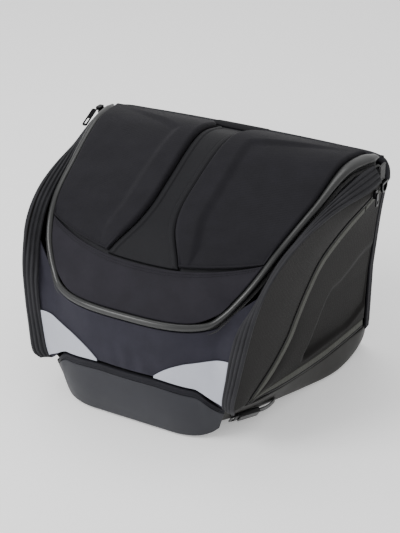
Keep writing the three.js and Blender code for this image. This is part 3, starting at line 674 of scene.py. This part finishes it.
def pad_surface(u, v, fold):
    """The right pad, from the band to the piping, with room for the piping's fold."""
    row = lerp(LID_FIRST, 1, v)
    guess = lerp(band_half(row) / LID_SIDE(row)[..., 0], lid_reach(np.minimum(row, lid_seam(0))), u)
    along = lerp(LID_FIRST, lid_seam(guess) - SEAM_GAP, v)
    half = LID_SIDE(along)[..., 0]
    inner = (band_half(along) + corner_extra(along) + 1) / half
    return lid_surface(lerp(inner, lid_reach(along) - fold_width(along, fold) / half, u), along)


def pad_relief(u, v, p):
    """A thermoformed rib beside the centre band. Beyond it the pad lies lower."""
    x, y = p[..., 0], p[..., 1]
    line = 55 + 10 * smooth(-y, 60, 112) - 2 * smooth(y, 0, 66)
    turn = 68 + 0.66 * (x - 57) - 0.0016 * np.maximum(x - 60, 0) ** 2
    inside = np.minimum(smooth(x - line, -7, 6), smooth(turn - y, -7, 6))
    low = RIB_HEIGHT * inside * (1 - smooth(x, 95, 175))
    seam = 4.0 * smooth(v, 0.84, 1.0)
    return -np.minimum(low + seam, PAD_LOWEST)


def band_surface(u, v):
    across = 2 * u - 1
    along = lerp(LID_FIRST, lid_seam(0.3 * across) - SEAM_GAP, v)
    half = (band_half(along) + corner_extra(along) - 0.4) / LID_SIDE(along)[..., 0]
    return lid_surface(half * across, along)


def band_relief(u, v, p):
    """Turned hems along both sides of the band."""
    half = np.abs(p[:, -1:, 0])
    inset = half - np.abs(p[..., 0])
    return 1.3 * (1 - smooth(inset, 7.5, 9.5)) - 0.8 * np.exp(-(((inset - 8.6) / 0.7) ** 2))


def apron_surface(u, v):
    a = 2 * u - 1
    along = lerp(lid_seam(a) + SEAM_GAP, LID_LAST - 0.05 * np.abs(a) ** 12, v)
    return lid_surface(a * (lid_reach(along) - 0.025 * smooth(along, 0.9, 1)), along)


def apron_relief(u, v, p):
    """The cloth pulls in a little between its ends and ripples softly over the front corner."""
    x = p[..., 0]
    ripple = 0.35 * np.sin(x / 17 + 3 * v) * np.sin(math.pi * v)
    return ripple + 0.8 * np.sin(math.pi * v) ** 2


def add_pad(side, fold):
    def surface(u, v):
        return pad_surface(u, v, fold)

    built = shell_verts(surface, (110, 150), PAD_HEIGHT, 8, PAD_HEIGHT, pad_relief)
    if side == "left":
        built = flipped(*built)
    add_piece("pad_" + side, *built, "fabric", "lid", ["lid_pad_" + side])


def add_seam_stitches():
    rows = []
    for inset in STITCH_ROWS:
        a = np.linspace(-0.985, 0.985, ROW_SAMPLES)
        along = lid_seam(a) + SEAM_GAP + inset
        path = lid_surface(a * lid_reach(along), along)
        normals = np.tile([0.0, -0.5, 0.85], (ROW_SAMPLES, 1))
        rows.append(stitch_verts(path + points(0, -0.8, 1.5), normals))
    add_piece("seam_stitches", *joined(*rows), "thread", "lid", slot="fabric")


def make_lid():
    for side, fold in FOLDS.items():
        add_pad(side, fold)
    band = shell_verts(band_surface, (60, 90), -1.5, 5, 1.5, band_relief)
    add_piece("band", *band, "band", "lid", ["centre_band"])
    apron = shell_verts(apron_surface, (150, 50), 1.2, 5.5, 2.2, apron_relief)
    add_piece("apron", *apron, "apron", "lid", ["lid_apron"], "fabric")
    add_seam_stitches()


def make_piping():
    """Satin piping round the lid, which opens into a broad fold towards the right end of the ridge."""
    t = np.linspace(0.015, 2, 130)
    # Round the lid's front corner the piping follows the mean of points to either side.
    near = (1 - 0.9 * np.abs(t - 1) / 0.1)[:, None]
    rounded = (lid_edge(np.maximum(t - 0.07, 0)) + lid_edge(np.minimum(t + 0.07, 2))) / 2
    half = lerp(lid_edge(t), rounded, np.clip(near, 0, 1) * 0.7)
    out, up = edge_out(t), np.tile([0.0, 0.0, 1.0], (len(t), 1))
    wide = {side: fold_width(t, fold) / 2 for side, fold in FOLDS.items()}
    right = half - out * wide["right"][:, None]
    left = half - out * wide["left"][:, None]
    path = np.vstack([right, left[-2::-1] * MIRRORED])
    first = np.vstack([out, out[-2::-1] * MIRRORED])
    second = np.vstack([up, up[-2::-1]])
    width = np.concatenate([wide["right"], wide["left"][-2::-1]])
    tuck = lerp(0.5, 1, smooth(t, 0.01, 0.07))
    tuck = np.concatenate([tuck, tuck[-2::-1]])

    def section(share):
        k = round(share * (len(path) - 1))
        return oval((PIPE + width[k]) * tuck[k], (PIPE + 0.12 * width[k]) * tuck[k], 18)

    add_piece("piping", *sweep(path, first, second, section), "piping", "lid", ["lid_piping"])


# ---- Rider side and ridge ----
RIDGE_PATH = Curve([
    (0, 153, 287), (70, 153, 286.8), (140, 153, 285.4), (185, 153, 283.4), (198, 152.6, 279),
    (204, 152, 270), (206, 151.5, 258),
])
RIDGE_STEPS = 70
CORNER_STEPS = 40


def make_ridge_binding():
    """Rolled binding along the ridge, which runs on down both corners of the rider side."""
    top = RIDGE_PATH(np.linspace(0, 1, RIDGE_STEPS))
    z = np.linspace(252, 44, CORNER_STEPS)
    side = points(side_x(150.0, z) - 3.2, 151.5, z)
    half = np.vstack([top, side])
    path = np.vstack([half[::-1], half[1:] * MIRRORED])
    share = np.concatenate([np.linspace(0, 1, RIDGE_STEPS), np.full(CORNER_STEPS, 2.0)])
    share = np.concatenate([share[::-1], share[1:]])
    first, second = frames_along(path, (0, 1, 0))

    def section(k):
        s = share[round(k * (len(path) - 1))]
        w = 1 - smooth(s, 0.8, 1.6)
        return oval(3.0 + 1.2 * w, 3.2 + 4.3 * w, 14)

    tube = sweep(path, first, second, section)
    add_piece("ridge_binding", *tube, "binding", "bag", ["hinge_strip"], "webbing")


SADDLE = Curve([(145.8, 287), (147, 289.2), (153, 291.6), (159.5, 288.8), (162.5, 281.5), (162.8, 264)])


def saddle_surface(u, v):
    """The centre band's tail, which lies over the ridge binding and down the rider side."""
    p = SADDLE(v)
    half = lerp(50, 30, smooth(v, 0.05, 0.75))
    x = (2 * u - 1) * half
    return points(x, p[..., 0], p[..., 1] - 0.00006 * x**2)


RIDER_LOW = 41
RIDER_HIGH = 285
FRAME_INSET = 24  # of the groove round the padded back
CHANNEL_PITCH = 48


def rider_half(z):
    """Half width of the rider side at a height."""
    half = lerp(153.32, 201, (z - 11) / 266) + 2
    return np.where(z > 256, lerp(half, RIDGE_HALF - 2, smooth(z, 256, 262)), half)


def rider_surface(u, v):
    z = lerp(RIDER_LOW, RIDER_HIGH, v)
    return points(rider_half(z) * (2 * u - 1), REAR_Y, z)


def rider_relief(u, v, p):
    """A padded back with a sewn frame and upright channels."""
    x, z = np.abs(p[..., 0]), p[..., 2]
    border = np.minimum(rider_half(z) - x, np.minimum(z - RIDER_LOW, RIDER_HIGH - z))
    groove = 1.6 * np.exp(-(((border - FRAME_INSET) / 1.6) ** 2))
    beside = np.mod(x + CHANNEL_PITCH / 2, CHANNEL_PITCH) - CHANNEL_PITCH / 2
    channel = 2.0 * np.exp(-((beside / 1.5) ** 2)) * smooth(border, FRAME_INSET, 30)
    return 2.0 * smooth(border, 0, 16) + 1.6 * smooth(border, 26, 44) - groove - channel


POST_Y = 150.5
POST_ROUND = 9
POST_TURN = (0.3, 0.8)  # shares of its width between which the corner turns


def post_surface(u, v):
    """Rounded corner between the side and the rider panel."""
    start, end = POST_TURN
    z = lerp(36, 253, v)
    outer = side_x(147.0, z)
    inner = rider_half(z) + 0.5
    turn = smooth(u, start, end) * math.pi / 2
    x = np.where(u < start, outer, outer - POST_ROUND * (1 - np.cos(turn)))
    y = np.where(u < start, lerp(POST_Y - 10, POST_Y, u / start), POST_Y + POST_ROUND * np.sin(turn))
    flat = lerp(outer - POST_ROUND, inner, (u - end) / (1 - end))
    return points(np.where(u > end, flat, x), y, z)


HANDLE_Y = 167.0
HANDLE_PATH = [(66, 236), (66, 222), (66, 208), (63, 199), (55, 194.5), (42, 194), (20, 194), (0, 194)]
GRIP_START = 30  # step of the handle's path at which its sleeve starts


def make_handle():
    """Carry handle of flat webbing with a rounded grip sleeve."""
    half = Curve(HANDLE_PATH)(np.linspace(0, 1, 50))
    xz = np.vstack([half, half[-2::-1] * np.array([-1.0, 1.0])])
    path = points(xz[:, 0], HANDLE_Y, xz[:, 1])
    along = unit(np.gradient(path, axis=0))
    second = np.tile([0.0, 1.0, 0.0], (len(path), 1))
    first = np.cross(second, along)
    tape = sweep(path, first, second, lambda k: oval(10, 2.3, 20, 0.35))
    add_piece("handle_tape", *tape, "webbing", "carry_handle", ["carry_handle"])
    grip = slice(GRIP_START, len(path) - GRIP_START)

    def sleeve_section(k):
        taper = (2 * k - 1) ** 8
        return oval(11.2 - 2 * taper, 3.6 - 0.8 * taper, 24, 0.6)

    sleeve = sweep(path[grip], first[grip], second[grip], sleeve_section)
    add_piece("handle_grip", *sleeve, "under_pad", "carry_handle", slot="webbing")


def make_rider_side():
    back = shell_verts(rider_surface, (120, 100), 0.0, 8, 3.0, rider_relief)
    add_piece("rider_pad", *back, "fabric", "bag", ["rider_panel"])
    post = shell_verts(post_surface, (36, 60), 0.0, 3, 1.0)
    add_pair("corner", post, "fabric", "bag", ["pocket_post_SIDE"])
    saddle = shell_verts(saddle_surface, (40, 40), 0.6, 2, 0.9)
    add_piece("band_saddle", *saddle, "band", "bag")
    make_ridge_binding()
    make_handle()


# ---- Tail end ----
def tail_relief(u, v, p):
    """Upright creases over the middle of the bumper."""
    x = p[..., 0]
    fade = np.exp(-(((x - 6) / 32) ** 2)) * smooth(0.8 - v, 0, 0.7)
    creases = 1.2 * np.sin(x / 3.8 + 0.8 + 2 * v) * fade
    return creases + 1.2 * np.sin(math.pi * v) * np.exp(-((x / 70) ** 2))


PANEL_HALF = 120  # about half the tail panel's width
PATCH_INNER = 0.32  # shares of it between which the reflective patch lies
PATCH_OUTER = 0.985


def patch_surface(u, v):
    """Reflective patch above the bumper, whose upper edge climbs outwards."""
    a = lerp(PATCH_INNER, PATCH_OUTER, u)
    x = a * PANEL_HALF
    top = 84 + 27 * np.sqrt(smooth(x, 34, 78)) + 13 * smooth(x, 60, PANEL_HALF)
    return tail_at_height(a, lerp(bumper_top_z(x) + 2.2 + 5 * smooth(x, 100, 118), top, v))


BINDING_WIDE = 10.5  # width of the bound edge along the bumper's top


def bumper_split(u):
    """Where the bumper's binding starts, as a share of its height."""
    x = np.abs(2 * u - 1) * BUMPER_HALF
    return 1 - BINDING_WIDE / (bumper_top_z(x) + 8)


def bumper_face(u, v):
    return bumper_surface(u, v * bumper_split(u))


def bumper_binding(u, v):
    return bumper_surface(u, lerp(bumper_split(u) + 0.005, 1, v))


def make_tail_end():
    panel = shell_verts(tail_surface, (150, 60), 0.0, 2.4, 0.9, tail_relief)
    add_piece("tail_cloth", *panel, "tail_fabric", "bag", ["tail_panel"])
    patch = shell_verts(patch_surface, (60, 40), 2.3, 1.2, 0.5)
    add_pair("patch", patch, "reflective", "bag", ["reflective_patch_SIDE"])
    face = shell_verts(bumper_face, (150, 50), 1.0, 6, 2.0)
    add_piece("bumper_face", *face, "bumper", "bag", ["tail_bumper"])
    binding = shell_verts(bumper_binding, (150, 14), 1.2, 6, 2.6, lambda u, v, p: -2.4 * v)
    add_piece("bumper_binding", *binding, "binding", "bag", slot="bumper")


# ---- Sides ----
STRIP_THICK = 2.4
RIBS = 4
RIB = 2.2  # height of a rib
FLAP_START = 0.075  # share of the pocket's zip above which its flange stays on the bag
FLAP_BORDER = 9  # widest border between the flap and its zip
TIP_TURN = 0.645  # share of the zip at which the border strips have no width
COIL = 1.25  # radius of a zip's coil
COIL_STEPS = 700


def strip_relief(u, v, p):
    """Parallel piped ribs along the strip."""
    return RIB * np.abs(np.sin(RIBS * math.pi * v)) ** 0.8 - RIB / 2


def wing_side_surface(u, v):
    """Moulded cloth between the strip and the pocket's zip."""
    outer = inside_wing_edge(lerp(0.005, 0.985, u), 0.5)
    inner = beside_zip(lerp(0.01, POCKET_TIP - 0.005, u), 3)
    mixed = lerp(outer, inner, v[..., None])
    return side_point(mixed[..., 1], mixed[..., 2])


def tip_width(t, wide):
    """Width of the pocket's border strips, which narrow to nothing at the tip."""
    return wide * smooth(np.abs(t - TIP_TURN), 0.01, 0.16)


def zip_line(start, end, low, high):
    """Surface of a strip along the zip between two distances beside it."""

    def surface(u, v):
        t = lerp(start, end, u)
        w = tip_width(t, 1.0)
        return beside_zip(t, lerp(low, high * w + low * (1 - w), v))

    return surface


def belly_relief(u, v, p):
    return 1.6 * np.sin(math.pi * v)


def flap_border(t):
    """The flap's own edge, inside the flange along the zip."""
    return beside_zip(t, -tip_width(t, FLAP_BORDER) - 0.5)


def flap_surface(u, v):
    """The pocket's flap inside its zip, from the tip to the hinge and from the foot up."""
    high = flap_border(lerp(POCKET_TIP - 0.03, 0.01, u))
    low = flap_border(lerp(POCKET_TIP + 0.055, 0.99, u))
    mixed = lerp(low, high, v[..., None])
    return side_point(mixed[..., 1] + 6 * smooth(u, 0.84, 1), mixed[..., 2])


def flap_relief(u, v, p):
    """A recessed triangle, pressed into the bulging flap, deepest at its tail corner."""
    y, z = p[..., 1], p[..., 2]
    top = 70 + 76 * smooth(y, -14, 48) ** 0.8 + 24 * smooth(y, 48, 126)
    low = 62 + 16 * smooth(y, 80, 140) ** 1.5
    inside = smooth(top - z, -4, 8) * smooth(z - low, -2, 5) * smooth(y, -14, -4)
    depth = lerp(8.0, 4.0, smooth(y, -10, 120)) * lerp(1.0, 0.75, smooth(z, 70, 130))
    return 2.0 * np.sin(math.pi * v) * smooth(u, 0, 0.3) - depth * inside


def coil_verts(path, out, up):
    """Zip coil: a tube that swells at every other step of its path, as teeth do."""
    last = len(path) - 1

    def section(share):
        tooth = round(share * last) % 2
        return oval(COIL * 1.35, COIL, 8) * (0.72 + 0.28 * tooth)

    return sweep(path, out, up, section)


def make_sides():
    strip = shell_verts(
        lambda u, v: strip_surface(lerp(0, 0.985, u), v), (200, 50), STRIP_THICK, STRIP_THICK, 1.2,
        strip_relief, crowd=0.5, facing=(0, 0, 1),
    )
    add_pair("wing_strip", strip, "strip", "bag", ["wing_strip_top_SIDE", "wing_strip_front_SIDE"], "fabric")
    side = shell_verts(wing_side_surface, (150, 40), 0.0, 4, 2.0, belly_relief)
    add_pair("wing_side_cloth", side, "moulded", "bag", ["wing_side_SIDE"])
    tape = shell_verts(zip_line(0.004, 0.996, 3.4, -1.2), (260, 6), -1.2, 1.2, 0.3)
    add_pair("pocket_tape", tape, "zip", "bag", ["pocket_zip_tape_SIDE"])
    flap = shell_verts(flap_surface, (120, 90), 0.6, 9, 2.4, flap_relief)
    covered = ["pocket_flap_SIDE", "pocket_wedge_SIDE"]
    for piece in add_pair("pocket_cover", flap, "moulded", "pocket_flap_SIDE", covered):
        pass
    flanges = (
        ("end", 0.006, FLAP_START - 0.003, "bag"),
        ("upper", FLAP_START, 0.625, "pocket_flap_SIDE"),
        ("lower", 0.665, 0.994, "pocket_flap_SIDE"),
    )
    for name, start, end, body in flanges:
        flange = shell_verts(zip_line(start, end, -1.4, -10.8), (160, 12), 1.4, 3, 1.1)
        add_pair("zip_flange_" + name, flange, "flange", body, slot="moulded")
    path = beside_zip(np.linspace(0.006, 0.994, COIL_STEPS), 1.0)
    out, up = frames_along(path, (1, 0, 0))
    add_pair("pocket_coil", coil_verts(path, out, up), "plastic", "bag", slot="zip")


# ---- Base ----
# Right half of the foot's outline, as (x, y), and the rim's y at each of its points.
TRAY_LOW = [
    (0, -126), (40, -126), (72, -126), (98, -104), (118, -72), (140, -28), (162, 17), (180, 59),
    (186, 88), (186, 134), (180, 158), (150, REAR_Y), (0, REAR_Y),
]
TRAY_FOOT_Z = 2.2
TRAY_CENTRE = np.array([0, 20.0, 0])
TRAY_RIM_Y = [-140, -140, -136, -126, -112, -60, -5, 50, 100, 136, 158, REAR_Y, REAR_Y]
TRAY_RIM_ENDS = {0: 0, 1: 45, 2: 88, 3: 118, 10: 188, 11: 150, 12: 0}  # x where the rim leaves the side wall
# Rings of the tray: share of its height, scale about its centre, lift.
TRAY_RINGS = (
    (0.0, 0.94, 0.0), (0.0, 0.985, 0.2), (0.02, 0.998, 0.8), (0.08, 1.004, 0.5), (0.2, 1.009, 0),
    (0.4, 1.012, 0), (0.6, 1.01, 0), (0.8, 1.006, 0), (0.93, 1.003, 0), (1.0, 1.0, 0),
    (1.0, 0.985, 0), (0.1, 0.965, 2.0),
)


def tray_rim():
    rim = []
    for i, y in enumerate(TRAY_RIM_Y):
        if i in TRAY_RIM_ENDS:
            rim.append((TRAY_RIM_ENDS[i], y, 40.0))
        else:
            z = 41 + 9 * smooth(-y, 20, 120) - 4 * smooth(y, -34, 34) + 4 * smooth(y, 60, 134)
            rim.append((float(side_x(y, z)) + 0.5, y, float(z)))
    return np.array(rim, float)


def make_tray():
    """Base tray: a smooth-walled shell with a rolled foot."""
    t = np.linspace(0, 1, 150)
    foot = Curve([(x, y, TRAY_FOOT_Z) for x, y in TRAY_LOW])(t)
    rim = Curve(tray_rim())(t)
    rings = []
    for h, scale, lift in TRAY_RINGS:
        ring = lerp(foot, rim, h) - TRAY_CENTRE
        half = ring * np.array([scale, scale, 1]) + TRAY_CENTRE + points(0, 0, lift)
        rings.append(np.vstack([half, half[-2:0:-1] * MIRRORED]))
    count = len(rings[0])
    verts = np.vstack(rings)
    faces = []
    for r in range(len(rings) - 1):
        for i in range(count):
            a, b = r * count + i, r * count + (i + 1) % count
            faces.append((a, b, b + count, a + count))
    hubs = [verts[:count].mean(0), verts[-count:].mean(0)]
    verts = np.vstack([verts, hubs])
    last = (len(rings) - 1) * count
    for i in range(count):
        n = (i + 1) % count
        faces.append((len(verts) - 2, n, i))
        faces.append((len(verts) - 1, last + i, last + n))
    add_piece("tray_skin", verts, faces, "base", "bag", ["base_tray"])


# ---- Hardware and the frame's own nodes ----
CAD_FINISH = {
    "anti_slip_pad": "under_pad", "base_board": "board", "rider_board": "board", "handle_anchor": "webbing",
    "pocket_wall": "lining", "lid_shell": "lining", "lid_zip_tape": "zip", "main_zip_tape": "zip",
    "ring_tab": "webbing", "d_ring": "metal", "main_zip_slider": "metal", "main_zip_puller": "metal",
    "pocket_zip_slider": "metal", "pocket_zip_puller": "metal", "mount_strap_tail": "webbing",
    "mount_strap_rider": "webbing", "buckle_socket_tail": "plastic", "buckle_socket_rider": "plastic",
    "buckle_insert_tail": "plastic", "buckle_insert_rider": "plastic",
}
EDGE_ROUND = {
    "metal": 0.5, "plastic": 0.8, "webbing": 0.6, "under_pad": 0.5, "board": 0.5, "zip": 0.3, "lining": 0.8,
}
WELD_REACH = 0.00002  # metres
SHARP_ANGLE = 35  # degrees, above which an edge is rounded


def dress_frame_nodes():
    """Finishes, and rounded edges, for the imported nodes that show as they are."""
    for name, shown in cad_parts.items():
        finish = CAD_FINISH.get(name.removesuffix("_right").removesuffix("_left"))
        if shown.hide_render or finish is None:
            continue
        shown.data.materials.clear()
        shown.data.materials.append(FINISH[finish])
        weld = shown.modifiers.new("weld", "WELD")
        weld.merge_threshold = WELD_REACH
        edge = shown.modifiers.new("edge", "BEVEL")
        edge.width = EDGE_ROUND[finish] * MM
        edge.segments = 2
        edge.limit_method = "ANGLE"
        edge.angle_limit = math.radians(SHARP_ANGLE)
        edge.harden_normals = False
        shown.modifiers.new("normals", "WEIGHTED_NORMAL")


# ---- Stage ----
WHITE = (1, 1, 1, 1)
FLOOR_REACH = 12.0
LIT_POINT = Vector((0.0, 0.0, 0.16))
LIGHTS = (  # name, place, width, power
    ("key", (-1.2, -1.4, 1.8), 1.2, 38),
    ("fill", (-0.9, -2.2, 0.8), 1.6, 10),
    ("top", (-0.4, 0.9, 2.2), 1.4, 12),
)


def add_light(name, place, size, power):
    lamp = bpy.data.lights.new(name, "AREA")
    lamp.shape = "DISK"
    lamp.size = size
    lamp.energy = power
    made = bpy.data.objects.new(name, lamp)
    bpy.context.scene.collection.objects.link(made)
    made.location = place
    made.rotation_euler = (LIT_POINT - Vector(place)).to_track_quat("-Z", "Y").to_euler()


def make_floor():
    mesh = bpy.data.meshes.new("floor")
    near, far = -FLOOR_REACH, FLOOR_REACH
    mesh.from_pydata([(near, near, 0), (far, near, 0), (far, far, 0), (near, far, 0)], [], [(0, 1, 2, 3)])
    floor = bpy.data.objects.new("floor", mesh)
    bpy.context.scene.collection.objects.link(floor)
    material, _, shader = new_material("floor_paper")
    shader.inputs["Base Color"].default_value = (0.93, 0.93, 0.93, 1)
    shader.inputs["Roughness"].default_value = 0.9
    shader.inputs["Specular IOR Level"].default_value = 0.1
    shader.inputs["Emission Color"].default_value = WHITE
    shader.inputs["Emission Strength"].default_value = 0.34
    mesh.materials.append(material)


def make_world():
    world = bpy.data.worlds.new("studio")
    world.use_nodes = True
    background = world.node_tree.nodes["Background"]
    background.inputs["Color"].default_value = WHITE
    background.inputs["Strength"].default_value = 0.85
    bpy.context.scene.world = world


def make_stage():
    make_floor()
    make_world()
    for light in LIGHTS:
        add_light(*light)


# ---- Camera ----
LENS = 84.37
CAMERA_PLACE = (0.6815, -1.2531, 0.9077)
AZIMUTH = math.radians(27.98)
ELEVATION = math.radians(28)


def make_camera():
    data = bpy.data.cameras.new("camera")
    data.lens = LENS
    data.sensor_width = 36
    camera = bpy.data.objects.new("camera", data)
    bpy.context.scene.collection.objects.link(camera)
    camera.location = CAMERA_PLACE
    level = math.cos(ELEVATION)
    back = Vector((math.sin(AZIMUTH) * level, -math.cos(AZIMUTH) * level, math.sin(ELEVATION)))
    camera.rotation_euler = back.to_track_quat("Z", "Y").to_euler()
    bpy.context.scene.camera = camera


make_camera()
make_stage()
make_lid()
make_piping()
make_rider_side()
make_tail_end()
make_sides()
make_tray()
dress_frame_nodes()
